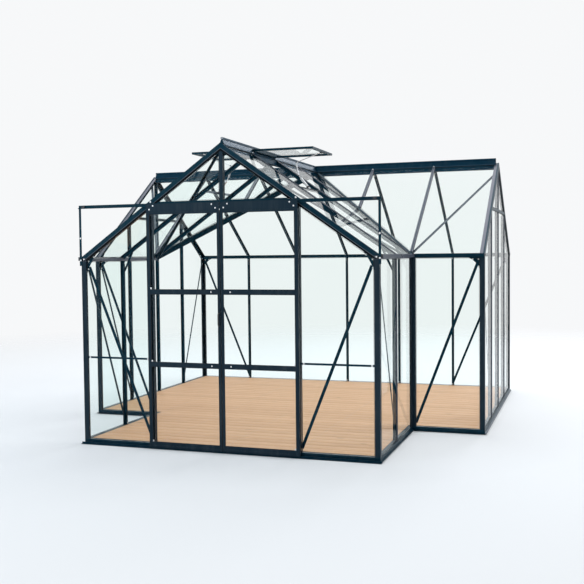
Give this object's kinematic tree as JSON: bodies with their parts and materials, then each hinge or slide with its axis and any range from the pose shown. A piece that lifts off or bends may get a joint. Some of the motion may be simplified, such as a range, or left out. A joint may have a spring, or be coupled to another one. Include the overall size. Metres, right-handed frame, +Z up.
{
  "type": "glass greenhouse",
  "caption": "T-shaped glass greenhouse with a gabled front wing, two sliding doors, a cross wing, open roof vents, gutters and a slatted floor.",
  "frame": {"origin": "ground level, in the middle of the box around the whole building", "axes": "+X to the right along the front, +Y from the doors to the rear, +Z up"},
  "size_m": [3.876, 3.934, 2.5301],
  "materials": {
    "frame": "powder coated, satin",
    "glass": "clear",
    "deck": "oiled",
    "roller": "plain",
    "handle": "powder coated, satin",
    "opener": "satin"
  },
  "bodies": {
    "frame": {"bottom_track": "frame", "corner_plates": "frame", "corner_posts": "frame", "cross_sills": "frame", "door_sill": "frame", "door_track": "frame", "front_bay_strips": "frame", "front_glass": "glass", "front_posts": "frame", "front_rafters": "frame", "front_slope_bars": "frame", "front_slope_glass": "glass", "gable_ties": "frame", "knee_stays": "frame", "main_floor": "deck", "main_gutters": "frame", "main_ridge": "frame", "rear_slope_bars": "frame", "rear_slope_glass": "glass", "rear_wall_bars": "frame", "rear_wall_glass": "glass", "roof_braces": "frame", "shoulder_glass": "glass", "side_gable_bars": "frame", "side_gable_glass": "glass", "side_gable_rafters": "frame", "side_sills": "frame", "track_struts": "frame", "valley_bars": "frame", "vent_frames": "frame", "vent_glass": "glass", "vent_openers": "opener", "vent_sills": "frame", "wall_braces": "frame", "wing_floor": "deck", "wing_gutters": "frame", "wing_ridge": "frame", "wing_roof_bars": "frame", "wing_roof_glass": "glass", "wing_wall_bars": "frame", "wing_wall_glass": "glass"},
    "left_door": {"left_door_frame": "frame", "left_door_glass": "glass", "left_door_handle": "handle", "left_door_head": "frame", "left_door_rollers": "roller"},
    "right_door": {"right_door_frame": "frame", "right_door_glass": "glass", "right_door_head": "frame", "right_door_rollers": "roller"}
  },
  "joints": [
    {"name": "left_door_slide", "type": "slide", "parent": "frame", "child": "left_door", "axis": [-1, 0, 0], "range_m": [0, 0.6]},
    {"name": "right_door_slide", "type": "slide", "parent": "frame", "child": "right_door", "axis": [1, 0, 0], "range_m": [0, 0.6]}
  ]
}
